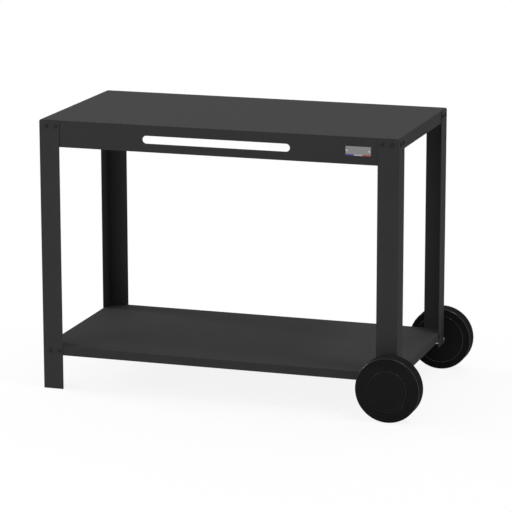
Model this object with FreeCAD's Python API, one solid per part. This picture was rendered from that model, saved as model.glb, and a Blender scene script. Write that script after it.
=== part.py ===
import FreeCAD, Part
import math
import os

from FreeCAD import Placement, Rotation, Vector

# Plancha cart: a folded worktop and a folded shelf in four bolted angle legs, with two wheels at one end.
# Millimetres. X runs along the cart to the wheel end, Y from the handle side to the back, Z up.
# The origin is on the floor, under the middle of the whole cart with its wheels and bolt heads.

# Frame
length = 1050.0
depth = 538.0
height = 784.0

# Angle legs
leg_flange = 60.0
leg_sheet = 2.0
leg_bend_inside = 0.5
leg_top_drop = 2.5
leg_top_round = 5.0
leg_foot_round = 2.5

# Worktop and shelf sheets
tray_sheet = 1.2
tray_bend_inside = 0.3
front_skirt = 76.5
side_skirt = 36.0
shelf_lip = 25.0

# Handle slot in the front skirt
slot_length = 430.0
slot_height = 22.0
slot_drop = 41.0

# Frame bolts with their nuts and washers
bolt_diameter = 6.0
bolt_hole_clearance = 0.3
bolt_head_diameter = 12.0
bolt_head_height = 3.3
bolt_head_rim = 1.4
bolt_head_flat = 6.6
bolt_socket = 4.0
bolt_socket_depth = 2.0
bolt_tip_chamfer = 0.8
thread_clearance = 0.05
thread_past_nut = 3.2
nut_across = 10.0
nut_thickness = 5.0
nut_chamfer = 0.6
nut_chamfer_angle = 30.0
washer_diameter = 12.0
washer_thickness = 1.6
nut_corner_clearance = 1.7
bolt_edge_margin = 11.4
bolt_top_margin = 14.8

# Badge plate and its rivets
plate_width = 72.0
plate_height = 26.0
plate_thickness = 1.0
plate_round = 0.8
plate_leg_gap = 19.0
plate_drop = 39.0
rivet_margin = 4.5
rivet_diameter = 3.2
rivet_head_diameter = 6.0
rivet_head_height = 1.4
rivet_head_rim = 0.3
rivet_head_flat = 1.6
rivet_tail_diameter = 5.0
rivet_tail_height = 2.0
rivet_tail_round = 0.7
rivet_clearance = 0.1

# Wheels
wheel_radius = 91.5
wheel_width = 46.0
tyre_shoulder = 2.0
tyre_wall = 21.0
tyre_lip = 6.0
cap_radius = 56.0
cap_thickness = 3.0
cap_edge_round = 1.0
cap_groove = 4.0
cap_rest = 6.0
cap_spigot_wall = 2.5
cap_spigot_length = 4.0
cap_clearance = 0.4
core_wall = 5.0
core_web = 5.0
core_web_recess = 1.0
core_flange = 3.0
bead_width = 1.8
bead_height = 1.0
bead_round = 0.6
hub_radius = 15.0
hub_length = 35.2
hub_edge_round = 0.8

# Axles
axle_diameter = 10.0
axle_hole_clearance = 0.25
axle_bolt_length = 80.0
axle_head_height = 6.4
axle_nut_across = 16.0
axle_nut_thickness = 7.0
axle_nut_collar = 3.0
axle_nut_collar_diameter = 14.0
axle_nut_collar_round = 1.0
axle_running_clearance = 0.05
axle_end_play = 0.3
axle_edge_margin = 10.0
bush_wall = 2.0
bush_seat_clearance = 0.05
inner_washer_diameter = 30.0
inner_washer_thickness = 2.5
outer_washer_diameter = 20.0
outer_washer_thickness = 2.0
nut_lip_clearance = 0.5
nut_wall_clearance = 2.4
bolt_head_wheel_gap = 2.7

# Places that follow from the sizes above
axle_height = wheel_radius
axle_inset = leg_sheet + axle_nut_across / math.sqrt(3) + nut_wall_clearance
wheel_overhang = wheel_radius - axle_inset
overall_length = bolt_head_height + length + wheel_overhang
left_end = bolt_head_height - overall_length / 2
right_end = left_end + length
middle = (left_end + right_end) / 2
axle_x = right_end - axle_inset
wheel_leg_foot = axle_height - axle_edge_margin
shelf_height = axle_height + axle_nut_across / 2 + nut_lip_clearance + shelf_lip
leg_top = height - leg_top_drop
tray_length = length - 2 * leg_sheet
tray_depth = depth - 2 * leg_sheet
bolt_grip = leg_sheet + tray_sheet
bolt_length = bolt_grip + washer_thickness + nut_thickness + thread_past_nut
bolt_corner_margin = bolt_length + nut_across / math.sqrt(3) + nut_corner_clearance
bolt_columns = (bolt_corner_margin, leg_flange - bolt_edge_margin)
bolt_rows = {"top": leg_top - bolt_top_margin, "shelf": shelf_height - shelf_lip / 2}
bolt_hole_radius = bolt_diameter / 2 + bolt_hole_clearance
axle_radius = axle_diameter / 2
axle_hole_radius = axle_radius + axle_hole_clearance
plate_x = right_end - leg_flange - plate_leg_gap - plate_width / 2
plate_z = height - plate_drop
rivet_hole_radius = rivet_diameter / 2 + rivet_clearance
slot_z = height - slot_drop

# Places along an axle, counted outwards from the leg's outer face
hub_inner_end = inner_washer_thickness + axle_end_play
hub_outer_end = hub_inner_end + hub_length
wheel_inner = bolt_head_height + bolt_head_wheel_gap
wheel_outer = wheel_inner + wheel_width
cap_seat = wheel_outer - cap_thickness
axle_head_seat = hub_outer_end + axle_end_play + outer_washer_thickness

# Corners of the frame: the sides of the cart, along X and Y, that each leg stands on
legs = {"front_left": (-1, -1), "rear_left": (-1, 1), "front_right": (1, -1), "rear_right": (1, 1)}
wheel_sides = {"front": -1, "rear": 1}
up = Vector(0, 0, 1)

# Every cut runs this far past the faces that it opens
past = 1.0


def rounded_face(corners, point):
    """Flat face through corners (a, b, radius), each rounded by its radius; point puts a and b in space."""
    rounds = []
    for index, (a, b, radius) in enumerate(corners):
        corner = Vector(a, b, 0)
        following = corners[(index + 1) % len(corners)]
        back = (Vector(*corners[index - 1][:2], 0) - corner).normalize()
        ahead = (Vector(*following[:2], 0) - corner).normalize()
        if radius == 0:
            rounds.append([corner])
            continue
        half_angle = back.getAngle(ahead) / 2
        reach = radius / math.tan(half_angle)
        inwards = (back + ahead).normalize()
        crown = radius / math.sin(half_angle) - radius
        rounds.append([corner + back * reach, corner + inwards * crown, corner + ahead * reach])
    edges = []
    for index, current in enumerate(rounds):
        start = point(rounds[index - 1][-1])
        end = point(current[0])
        if start.distanceToPoint(end) > Part.Precision.confusion():
            edges.append(Part.LineSegment(start, end).toShape())
        if len(current) == 3:
            edges.append(Part.Arc(*(point(spot) for spot in current)).toShape())
    return Part.Face(Part.Wire(edges))


def turned(corners):
    """Solid of revolution about Z, from the outline of its section: radius, height, corner radius."""
    section = rounded_face(corners, lambda spot: Vector(spot.x, 0, spot.y))
    return section.revolve(Vector(0, 0, 0), up, 360)


def hexagon(across_flats, bottom, top):
    """Six-sided prism about Z, with flats towards plus and minus Y."""
    corner = Vector(across_flats / math.sqrt(3), 0, bottom)
    outline = Part.makePolygon([Rotation(up, 60 * step).multVec(corner) for step in range(7)])
    return Part.Face(outline).extrude(up * (top - bottom))


def chamfered_hexagon(across_flats, bottom, top, chamfer):
    """Six-sided prism whose corners are turned down at the top."""
    corner_radius = across_flats / math.sqrt(3)
    face_radius = corner_radius - chamfer / math.tan(math.radians(nut_chamfer_angle))
    turning = [
        (0, bottom, 0),
        (corner_radius, bottom, 0),
        (corner_radius, top - chamfer, 0),
        (face_radius, top, 0),
        (0, top, 0),
    ]
    return hexagon(across_flats, bottom, top).common(turned(turning))


def ring(inner_radius, outer_radius, bottom, top):
    """Plain ring about Z."""
    return turned([
        (inner_radius, bottom, 0),
        (outer_radius, bottom, 0),
        (outer_radius, top, 0),
        (inner_radius, top, 0),
    ])


def moved(shape, spot, direction):
    """Copy of a shape made about Z, with its origin put at the spot and its Z turned to the direction."""
    copy = shape.copy()
    copy.Placement = Placement(spot, Rotation(up, direction)).multiply(shape.Placement)
    return copy


def drill(radius, spot, direction, thickness):
    """Cylinder that cuts a hole inwards from an outer face, through a sheet of the given thickness."""
    return Part.makeCylinder(radius, thickness + 2 * past, spot + direction * past, direction * -1)


def leg_end(x_side):
    """Outer face of the legs at one end of the cart."""
    return right_end if x_side > 0 else left_end


def bolt_seats(corner, row):
    """Where the bolts of one row sit on the outer faces of a leg: point and outward direction."""
    x_side, y_side = corner
    seats = []
    for column in bolt_columns:
        front_or_back = Vector(leg_end(x_side) - x_side * column, y_side * depth / 2, bolt_rows[row])
        end = Vector(leg_end(x_side), y_side * (depth / 2 - column), bolt_rows[row])
        seats.append((front_or_back, Vector(0, y_side, 0)))
        seats.append((end, Vector(x_side, 0, 0)))
    return seats


def axle_seat(y_side):
    """Where an axle leaves its leg: point on the outer face and outward direction."""
    return Vector(axle_x, y_side * depth / 2, axle_height), Vector(0, y_side, 0)


def leg(corner):
    """Angle leg with rounded free corners and bolt holes; a wheel leg has an axle hole in each flange."""
    x_side, y_side = corner
    x = leg_end(x_side)
    y = y_side * depth / 2
    foot = wheel_leg_foot if x_side > 0 else 0.0
    section = [
        (x, y, leg_bend_inside + leg_sheet),
        (x - x_side * leg_flange, y, 0),
        (x - x_side * leg_flange, y - y_side * leg_sheet, 0),
        (x - x_side * leg_sheet, y - y_side * leg_sheet, leg_bend_inside),
        (x - x_side * leg_sheet, y - y_side * leg_flange, 0),
        (x, y - y_side * leg_flange, 0),
    ]
    bar = rounded_face(section, lambda spot: Vector(spot.x, spot.y, foot)).extrude(up * (leg_top - foot))
    reach = leg_flange + 2 * past

    def flange_outline(outer, side):
        return [
            (outer + side * past, foot, 0),
            (outer - side * leg_flange, foot, leg_foot_round),
            (outer - side * leg_flange, leg_top, leg_top_round),
            (outer + side * past, leg_top, 0),
        ]

    x_past = x + x_side * past
    y_past = y + y_side * past
    long_side = rounded_face(flange_outline(x, x_side), lambda spot: Vector(spot.x, y_past, spot.y))
    end_side = rounded_face(flange_outline(y, y_side), lambda spot: Vector(x_past, spot.x, spot.y))
    bar = bar.common(long_side.extrude(Vector(0, -y_side * reach, 0)))
    bar = bar.common(end_side.extrude(Vector(-x_side * reach, 0, 0)))
    seats = bolt_seats(corner, "top") + bolt_seats(corner, "shelf")
    holes = [drill(bolt_hole_radius, spot, direction, leg_sheet) for spot, direction in seats]
    if x_side > 0:
        spot, direction = axle_seat(y_side)
        spare_spot = Vector(x, y_side * (depth / 2 - axle_inset), axle_height)
        holes.append(drill(axle_hole_radius, spot, direction, leg_sheet))
        holes.append(drill(axle_hole_radius, spare_spot, Vector(x_side, 0, 0), leg_sheet))
    return bar.cut(holes)


def folded_sheet(top, front, others, row):
    """Sheet folded down on four sides, the front by its own depth, with the bolt holes of one row."""
    outer_round = tray_bend_inside + tray_sheet
    corner = Vector(middle - tray_length / 2, -tray_depth / 2, top - front)
    block = Part.makeBox(tray_length, tray_depth, front, corner)
    rounded = [edge for edge in block.Edges if edge.CenterOfMass.z > top - front + past]
    block = block.makeFillet(outer_round, rounded)
    wall = Vector(tray_sheet, tray_sheet, -past)
    hollow_size = (tray_length - 2 * tray_sheet, tray_depth - 2 * tray_sheet, front - tray_sheet + past)
    hollow = Part.makeBox(*hollow_size, corner + wall)
    inside = [edge for edge in hollow.Edges if edge.CenterOfMass.z > top - front]
    sheet = block.cut(hollow.makeFillet(tray_bend_inside, inside))
    if front > others:
        trim_size = (tray_length + 2 * past, tray_depth, front - others + past)
        sheet = sheet.cut(Part.makeBox(*trim_size, corner + Vector(-past, tray_sheet, -past)))
    seats = [seat for place in legs.values() for seat in bolt_seats(place, row)]
    return sheet.cut([drill(bolt_hole_radius, spot, direction, bolt_grip) for spot, direction in seats])


def rivet_seats():
    """Where the rivets sit on the badge plate's face."""
    reach = plate_width / 2 - rivet_margin
    face = -tray_depth / 2 - plate_thickness
    return [Vector(plate_x + side * reach, face, plate_z) for side in (-1, 1)]


def worktop():
    """Worktop with the handle slot and the rivet holes in its front skirt."""
    sheet = folded_sheet(height, front_skirt, side_skirt, "top")
    half_length = slot_length / 2
    half_height = slot_height / 2
    outline = [
        (middle - half_length, slot_z - half_height, half_height),
        (middle + half_length, slot_z - half_height, half_height),
        (middle + half_length, slot_z + half_height, half_height),
        (middle - half_length, slot_z + half_height, half_height),
    ]
    slot = rounded_face(outline, lambda spot: Vector(spot.x, -tray_depth / 2 - past, spot.y))
    cuts = [slot.extrude(Vector(0, tray_sheet + 2 * past, 0))]
    for spot in rivet_seats():
        cuts.append(drill(rivet_hole_radius, spot, Vector(0, -1, 0), plate_thickness + tray_sheet))
    return sheet.cut(cuts)


def badge_plate():
    """Small flat plate on the front skirt, with rounded corners and two rivet holes."""
    half_width = plate_width / 2
    half_height = plate_height / 2
    outline = [
        (plate_x - half_width, plate_z - half_height, plate_round),
        (plate_x + half_width, plate_z - half_height, plate_round),
        (plate_x + half_width, plate_z + half_height, plate_round),
        (plate_x - half_width, plate_z + half_height, plate_round),
    ]
    face = rounded_face(outline, lambda spot: Vector(spot.x, -tray_depth / 2, spot.y))
    plate = face.extrude(Vector(0, -plate_thickness, 0))
    front = Vector(0, -1, 0)
    return plate.cut([drill(rivet_hole_radius, spot, front, plate_thickness) for spot in rivet_seats()])


def domed_head(radius, rim, head_height, flat_radius):
    """Head that stands on height 0: a low rim, then a ball-shaped dome about the axis up to a flat top."""
    rise = head_height**2 + flat_radius**2 - radius**2 - rim**2
    ball_height = rise / (2 * (head_height - rim))
    ball_radius = math.hypot(radius, rim - ball_height)
    shoulder_angle = math.atan2(radius, rim - ball_height)
    flat_angle = math.atan2(flat_radius, head_height - ball_height)
    angle = (shoulder_angle + flat_angle) / 2
    shoulder = Vector(radius, 0, rim)
    crown = Vector(ball_radius * math.sin(angle), 0, ball_height + ball_radius * math.cos(angle))
    edge = Vector(flat_radius, 0, head_height)
    rest = Part.makePolygon([edge, up * head_height, Vector(0, 0, 0), Vector(radius, 0, 0), shoulder])
    section = Part.Face(Part.Wire([Part.Arc(shoulder, crown, edge).toShape(), *rest.Edges]))
    return section.revolve(Vector(0, 0, 0), up, 360)


def frame_bolt():
    """Button-head bolt with a six-sided socket; its seat is at height 0 and its head points up."""
    radius = bolt_diameter / 2
    head = domed_head(bolt_head_diameter / 2, bolt_head_rim, bolt_head_height, bolt_head_flat / 2)
    shank = turned([
        (0, -bolt_length, 0),
        (radius - bolt_tip_chamfer, -bolt_length, 0),
        (radius, bolt_tip_chamfer - bolt_length, 0),
        (radius, 0, 0),
        (0, 0, 0),
    ])
    socket = hexagon(bolt_socket, bolt_head_height - bolt_socket_depth, bolt_head_height + past)
    return head.fuse(shank).cut(socket).removeSplitter()


def frame_nut():
    """Hexagon nut on the inside, counted from the leg's outer face like its bolt."""
    seat = -bolt_grip - washer_thickness
    body = chamfered_hexagon(nut_across, 0, nut_thickness, nut_chamfer)
    bore = ring(0, bolt_diameter / 2 + thread_clearance, -past, nut_thickness + past)
    return moved(body.cut(bore), up * seat, up * -1)


def frame_washer():
    """Washer between the sheet and the nut."""
    return ring(bolt_hole_radius, washer_diameter / 2, -bolt_grip - washer_thickness, -bolt_grip)


def rivet():
    """Rivet with a domed head on the plate and a formed tail behind the skirt."""
    radius = rivet_diameter / 2
    grip = plate_thickness + tray_sheet
    head = domed_head(rivet_head_diameter / 2, rivet_head_rim, rivet_head_height, rivet_head_flat / 2)
    stem = turned([
        (0, -grip - rivet_tail_height, 0),
        (rivet_tail_diameter / 2, -grip - rivet_tail_height, rivet_tail_round),
        (rivet_tail_diameter / 2, -grip, 0),
        (radius, -grip, 0),
        (radius, 0, 0),
        (0, 0, 0),
    ])
    return head.fuse(stem).removeSplitter()


def tyre():
    """Tyre: a plain tread with rounded shoulders, and a lip over the outer face of the core."""
    seat = wheel_radius - tyre_wall
    groove_edge = cap_radius + cap_groove
    return turned([
        (seat, wheel_inner, 0),
        (wheel_radius, wheel_inner, tyre_shoulder),
        (wheel_radius, wheel_outer, tyre_shoulder),
        (groove_edge, wheel_outer, cap_edge_round),
        (groove_edge, wheel_outer - tyre_lip, 0),
        (seat, wheel_outer - tyre_lip, 0),
    ])


def wheel_core():
    """Rim, web and hub in one: a bead round the inner face, and a flange that carries the cap."""
    seat = wheel_radius - tyre_wall
    bush_radius = axle_radius + axle_running_clearance + bush_wall + bush_seat_clearance
    web = wheel_inner + core_web_recess
    lip_seat = wheel_outer - tyre_lip
    return turned([
        (bush_radius, hub_inner_end, 0),
        (hub_radius, hub_inner_end, hub_edge_round),
        (hub_radius, web, 0),
        (seat - bead_width, web, 0),
        (seat - bead_width, wheel_inner - bead_height, bead_round),
        (seat, wheel_inner - bead_height, bead_round),
        (seat, lip_seat, 0),
        (cap_radius + cap_groove, lip_seat, 0),
        (cap_radius + cap_groove, cap_seat, 0),
        (cap_radius - cap_rest, cap_seat, 0),
        (cap_radius - cap_rest, lip_seat - core_flange, 0),
        (seat - core_wall, lip_seat - core_flange, 0),
        (seat - core_wall, web + core_web, 0),
        (hub_radius, web + core_web, 0),
        (hub_radius, hub_outer_end, hub_edge_round),
        (bush_radius, hub_outer_end, 0),
    ])


def wheel_cap():
    """Flush disc over the hub, on a spigot inside the core's flange."""
    spigot = cap_radius - cap_rest - cap_clearance
    return turned([
        (0, cap_seat, 0),
        (spigot - cap_spigot_wall, cap_seat, 0),
        (spigot - cap_spigot_wall, cap_seat - cap_spigot_length, 0),
        (spigot, cap_seat - cap_spigot_length, 0),
        (spigot, cap_seat, 0),
        (cap_radius, cap_seat, 0),
        (cap_radius, wheel_outer, cap_edge_round),
        (0, wheel_outer, 0),
    ])


def axle_bush():
    """Sleeve in the hub that turns on the axle bolt."""
    bore = axle_radius + axle_running_clearance
    return ring(bore, bore + bush_wall, hub_inner_end, hub_outer_end)


def axle_bolt():
    """Hexagon bolt through the wheel and the leg, head under the cap."""
    shank = turned([
        (0, axle_head_seat - axle_bolt_length, 0),
        (axle_radius - bolt_tip_chamfer, axle_head_seat - axle_bolt_length, 0),
        (axle_radius, axle_head_seat - axle_bolt_length + bolt_tip_chamfer, 0),
        (axle_radius, axle_head_seat, 0),
        (0, axle_head_seat, 0),
    ])
    head_top = axle_head_seat + axle_head_height
    head = chamfered_hexagon(axle_nut_across, axle_head_seat, head_top, nut_chamfer)
    return head.fuse(shank).removeSplitter()


def lock_nut():
    """Hexagon nut with a locking collar, on the inside of the leg."""
    body = chamfered_hexagon(axle_nut_across, 0, axle_nut_thickness, nut_chamfer)
    collar_top = axle_nut_thickness + axle_nut_collar
    collar = turned([
        (0, 0, 0),
        (axle_nut_collar_diameter / 2, 0, 0),
        (axle_nut_collar_diameter / 2, collar_top, axle_nut_collar_round),
        (0, collar_top, 0),
    ])
    bore = ring(0, axle_radius + thread_clearance, -past, collar_top + past)
    nut = body.fuse(collar).cut(bore).removeSplitter()
    return moved(nut, up * -leg_sheet, up * -1)


def save(name, shape):
    """Writes one node of the assembly."""
    shape.exportStep(os.path.join("parts", name + ".step"))


def group(shape, seats):
    """The same piece at every seat, as separate solids."""
    return Part.makeCompound([moved(shape, spot, direction) for spot, direction in seats])


def main():
    os.makedirs("parts", exist_ok=True)
    save("top_tray", worktop())
    save("lower_shelf", folded_sheet(shelf_height, shelf_lip, shelf_lip, "shelf"))
    fasteners = {"bolts": frame_bolt(), "washers": frame_washer(), "nuts": frame_nut()}
    for leg_name, corner in legs.items():
        save(leg_name + "_leg", leg(corner))
        for row in bolt_rows:
            for kind, piece in fasteners.items():
                save(f"{leg_name}_{row}_{kind}", group(piece, bolt_seats(corner, row)))
    save("badge_plate", badge_plate())
    save("plate_rivets", group(rivet(), [(spot, Vector(0, -1, 0)) for spot in rivet_seats()]))
    inner_washer = ring(axle_hole_radius, inner_washer_diameter / 2, 0, inner_washer_thickness)
    outer_seat = hub_outer_end + axle_end_play
    outer_washer = ring(axle_hole_radius, outer_washer_diameter / 2, outer_seat, axle_head_seat)
    wheel_pieces = {
        "tyre": tyre(),
        "wheel_core": wheel_core(),
        "wheel_cap": wheel_cap(),
        "axle_bush": axle_bush(),
        "axle_bolt": axle_bolt(),
        "inner_washer": inner_washer,
        "outer_washer": outer_washer,
        "lock_nut": lock_nut(),
    }
    for side_name, y_side in wheel_sides.items():
        for piece_name, piece in wheel_pieces.items():
            save(f"{side_name}_{piece_name}", moved(piece, *axle_seat(y_side)))


main()
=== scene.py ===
import math

import bmesh
import bpy
import numpy as np
from bpy.props import FloatProperty, FloatVectorProperty, PointerProperty
from mathutils import Matrix, Vector


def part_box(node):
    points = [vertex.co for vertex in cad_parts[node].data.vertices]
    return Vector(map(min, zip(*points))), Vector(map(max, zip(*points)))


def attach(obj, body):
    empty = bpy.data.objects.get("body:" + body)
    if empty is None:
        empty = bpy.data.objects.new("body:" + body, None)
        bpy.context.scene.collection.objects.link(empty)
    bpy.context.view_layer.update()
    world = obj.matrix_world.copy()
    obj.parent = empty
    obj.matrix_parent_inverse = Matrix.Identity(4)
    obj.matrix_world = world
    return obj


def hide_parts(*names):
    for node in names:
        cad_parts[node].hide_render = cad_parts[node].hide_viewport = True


bl_info = {
    "name": "Plancha cart",
    "version": (1, 0, 0),
    "blender": (4, 5, 0),
    "location": "3D View > Sidebar > Plancha cart",
    "description": "Dresses the packed frame of a wheeled plancha cart in finished sheets, bolts and wheels",
    "category": "Object",
}

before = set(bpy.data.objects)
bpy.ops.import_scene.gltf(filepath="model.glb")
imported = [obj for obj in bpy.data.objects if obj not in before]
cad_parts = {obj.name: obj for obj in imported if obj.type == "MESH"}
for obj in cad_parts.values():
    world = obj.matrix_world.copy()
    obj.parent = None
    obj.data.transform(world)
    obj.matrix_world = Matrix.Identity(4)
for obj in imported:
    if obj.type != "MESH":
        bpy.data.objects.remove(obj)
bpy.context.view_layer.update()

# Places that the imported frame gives, in metres
tray_low, tray_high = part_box("top_tray")
shelf_low, shelf_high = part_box("lower_shelf")
tyre_low, tyre_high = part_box("front_tyre")
plate_low, plate_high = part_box("badge_plate")
cart_middle = (tray_low.x + tray_high.x) / 2
axle_x = (tyre_low.x + tyre_high.x) / 2
axle_height = (tyre_low.z + tyre_high.z) / 2
front_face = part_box("front_left_leg")[0].y

corners = {"front_left": (-1, -1), "rear_left": (-1, 1), "front_right": (1, -1), "rear_right": (1, 1)}
bolt_rows = ("top", "shelf")
wheel_sides = {"front": -1, "rear": 1}

# Fineness of the surfaces
bend_steps = 8
edge_steps = 3
hole_steps = 8
slot_end_steps = 6
slot_middle_steps = 12
dome_steps = 7
wheel_columns = 144
bolt_columns = 36
axle_columns = 60
thread_rows_per_turn = 6
weld_distance = 1e-6
smooth_angle = math.radians(40)

# How far the rows that support a bend, an edge or the slot lie from it
support_distance = 0.004

# Small forms, as shares of the sizes that carry them
thread_depth = 0.55
bolt_tip_bevel = 0.8
axle_tip_bevel = 0.6
plain_in_nut = 0.8
nut_countersink = 0.06
hexagon_chamfer = 0.95
socket_bevel = 0.05
washer_softening = 0.2
rivet_rim = 0.2
plate_corner = 0.8
plate_edge = 0.2
hole_block = 1.3

# Form of nuts and hexagon heads, and how much the wheels' bead is rubbed
chamfer_angle = math.radians(30)
bead_wear = 0.6

# Stage, in metres apart from the film; each lamp has its direction from the cart's middle and its width
lamps = {
    "key": ((0.47, -0.12, 0.87), 1.0),
    "side": ((-0.90, 0.10, 0.40), 1.6),
    "back": ((0.10, 0.55, 0.83), 3.0),
    "fill": ((-0.75, -0.60, 0.28), 3.0),
}
lamp_distance = 6.0
floor_reach = 30.0
view_reach = 100.0
film_width_mm = 36.0


def size(name, description, default):
    """A length that a user may change."""
    return FloatProperty(
        name=name, description=description, default=default, min=0.0, precision=5,
        subtype="DISTANCE", unit="LENGTH")


def share(name, description, default):
    """A plain number from 0 to 1 that a user may change."""
    return FloatProperty(
        name=name, description=description, default=default, min=0.0, max=1.0, subtype="FACTOR")


def colour(name, description, default):
    """A colour that a user may change."""
    return FloatVectorProperty(
        name=name, description=description, default=default, size=3, min=0.0, max=1.0, subtype="COLOR")


def power(name, description, default):
    """A lamp's power that a user may change."""
    return FloatProperty(name=name, description=description, default=default, min=0.0, unit="POWER")


class CartSheets(bpy.types.PropertyGroup):
    """Sizes of the folded worktop and shelf and of the angle legs."""

    thickness: size("Sheet thickness", "Thickness of the worktop and shelf sheets", 0.0012)
    bend: size("Bend", "Outer bend radius of the worktop and the shelf", 0.0015)
    leg_thickness: size("Leg thickness", "Thickness of the leg sheets", 0.002)
    leg_bend: size("Leg bend", "Outer bend radius of the legs", 0.0025)
    edge: size("Cut edge", "Rounding of the cut edges under the coat", 0.0003)
    side_skirt: size("Side skirt", "Depth of the worktop's sides and back", 0.036)
    slot_length: size("Slot length", "Length of the handle slot, round ends included", 0.430)
    slot_height: size("Slot height", "Height of the handle slot", 0.022)
    slot_drop: size("Slot drop", "From the worktop down to the middle of the slot", 0.041)
    leg_top_round: size("Leg top round", "Rounding of a leg's upper free corners", 0.005)
    leg_foot_round: size("Leg foot round", "Rounding of a leg's lower free corners", 0.0025)
    axle_hole: size("Axle hole", "Diameter of the axle holes in the wheel legs", 0.0105)


class CartBolts(bpy.types.PropertyGroup):
    """Sizes of the frame bolts, their nuts and washers, and the badge plate's rivets."""

    shank: size("Shank", "Diameter of a frame bolt", 0.006)
    length: size("Length", "From a bolt's seat to its tip", 0.013)
    pitch: size("Pitch", "Thread pitch of a frame bolt", 0.001)
    head: size("Head", "Diameter of a button head", 0.012)
    head_height: size("Head height", "Height of a button head", 0.0033)
    head_rim: size("Head rim", "Height of the straight rim of a button head", 0.0014)
    head_flat: size("Head flat", "Diameter of the flat on a button head", 0.0066)
    socket: size("Socket", "Width across the flats of the socket", 0.004)
    socket_depth: size("Socket depth", "Depth of the socket", 0.002)
    inner_column: size("Inner column", "From a corner of the frame to its nearer bolts", 0.02047)
    outer_column: size("Outer column", "From a corner of the frame to its farther bolts", 0.0486)
    grip: size("Grip", "Thickness of the sheets that a frame bolt clamps", 0.0032)
    washer: size("Washer", "Diameter of a frame washer", 0.012)
    washer_hole: size("Washer hole", "Diameter of the hole in a frame washer", 0.0066)
    washer_thickness: size("Washer thickness", "Thickness of a frame washer", 0.0016)
    nut: size("Nut", "Width across the flats of a frame nut", 0.010)
    nut_thickness: size("Nut thickness", "Thickness of a frame nut", 0.005)
    rivet_margin: size("Rivet margin", "From the end of the badge plate to a rivet", 0.0045)
    rivet: size("Rivet", "Diameter of a rivet's stem", 0.0032)
    rivet_head: size("Rivet head", "Diameter of a rivet's head", 0.006)
    rivet_head_height: size("Rivet head height", "Height of a rivet's head", 0.0014)
    rivet_tail: size("Rivet tail", "Diameter of a rivet's formed tail", 0.005)
    rivet_tail_height: size("Rivet tail height", "Height of a rivet's formed tail", 0.002)


class CartWheels(bpy.types.PropertyGroup):
    """Sizes of the wheels and axles."""

    shoulder: size("Shoulder", "Rounding of the tyre's shoulders", 0.002)
    wall: size("Wall", "Height of the tyre's inner side wall", 0.021)
    lip: size("Lip", "Thickness of the tyre over the core's outer face", 0.006)
    cap: size("Cap radius", "Radius of the flush cap", 0.056)
    cap_groove: size("Cap groove", "Width of the groove round the cap", 0.004)
    cap_thickness: size("Cap thickness", "Thickness of the cap", 0.003)
    cap_round: size("Cap round", "Rounding of both edges of the groove", 0.001)
    cap_rest: size("Cap rest", "Width of the core's flange under the cap", 0.006)
    core_wall: size("Core wall", "Thickness of the core's rim", 0.005)
    core_web: size("Core web", "Thickness of the core's disc", 0.005)
    core_recess: size("Core recess", "How far the disc lies behind the inner face", 0.001)
    core_flange: size("Core flange", "Thickness of the flange that carries the cap", 0.003)
    bead: size("Bead width", "Width of the bead round the inner face", 0.0018)
    bead_height: size("Bead height", "Height of the bead round the inner face", 0.001)
    hub: size("Hub radius", "Radius of the hub", 0.015)
    axle: size("Axle", "Diameter of the axle bolt", 0.010)
    axle_clearance: size("Axle clearance", "Gap round the axle bolt in its bush", 0.00005)
    axle_pitch: size("Axle pitch", "Thread pitch of the axle bolt", 0.0015)
    axle_head: size("Axle head", "Height of the axle bolt's head", 0.0064)
    axle_nut: size("Axle nut", "Width across the flats of the axle nut and head", 0.016)
    axle_nut_thickness: size("Axle nut thickness", "Thickness of the lock nut under its collar", 0.007)
    collar: size("Collar", "Diameter of the lock nut's collar", 0.014)
    collar_height: size("Collar height", "Height of the lock nut's collar", 0.003)


class CartFinish(bpy.types.PropertyGroup):
    """Colours of the finishes, the plate's strip and the powder coat's roughness."""

    coat: colour("Powder coat", "Anthracite powder coat of the sheets", (0.037, 0.037, 0.037))
    bolt: colour("Bolt coat", "Black coat of the frame bolts", (0.033, 0.033, 0.033))
    zinc: colour("Zinc", "Plated nuts, washers and axles", (0.58, 0.58, 0.57))
    plate: colour("Plate", "Brushed badge plate", (0.24, 0.24, 0.24))
    rivet: colour("Rivet", "Drawn metal of the rivets", (0.42, 0.42, 0.42))
    tyre: colour("Tyre", "Rubber of the tyres", (0.0128, 0.0128, 0.0128))
    core: colour("Wheel plastic", "Moulded wheel cores and caps", (0.0122, 0.0122, 0.0122))
    bush: colour("Bush", "Nylon of the axle bushes", (0.72, 0.71, 0.66))
    strip_left: colour("Strip left", "Left third of the plate's strip", (0.045, 0.045, 0.30))
    strip_middle: colour("Strip middle", "Middle third of the plate's strip", (0.40, 0.40, 0.40))
    strip_right: colour("Strip right", "Right third of the plate's strip", (0.33, 0.06, 0.06))
    strip_height: size("Strip height", "Height of the plate's strip", 0.0040)
    coat_roughness: share("Coat roughness", "Roughness of the powder coat", 0.80)


class CartStage(bpy.types.PropertyGroup):
    """Camera and light."""

    lens: FloatProperty(name="Lens", description="Focal length of the camera", default=188.92, unit="CAMERA")
    eye: FloatVectorProperty(
        name="Eye", description="Camera, counted from the floor under the middle of the frame",
        default=(2.3534, -7.1932, 2.0900), subtype="TRANSLATION", unit="LENGTH")
    turn: FloatVectorProperty(
        name="Turn", description="The camera's pitch, roll and yaw",
        default=(math.radians(-12.829), math.radians(-0.083), math.radians(17.893)),
        subtype="EULER", unit="ROTATION")
    surroundings: FloatProperty(
        name="Surroundings", description="Strength of the white surroundings as a light",
        default=0.50, min=0.0)
    key: power("Key", "Power of the lamp high on the right", 84.0)
    side: power("Side", "Power of the lamp on the left", 185.0)
    back: power("Back", "Power of the wide lamp high behind", 64.0)
    fill: power("Fill", "Power of the wide lamp low in front on the left", 84.0)


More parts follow.
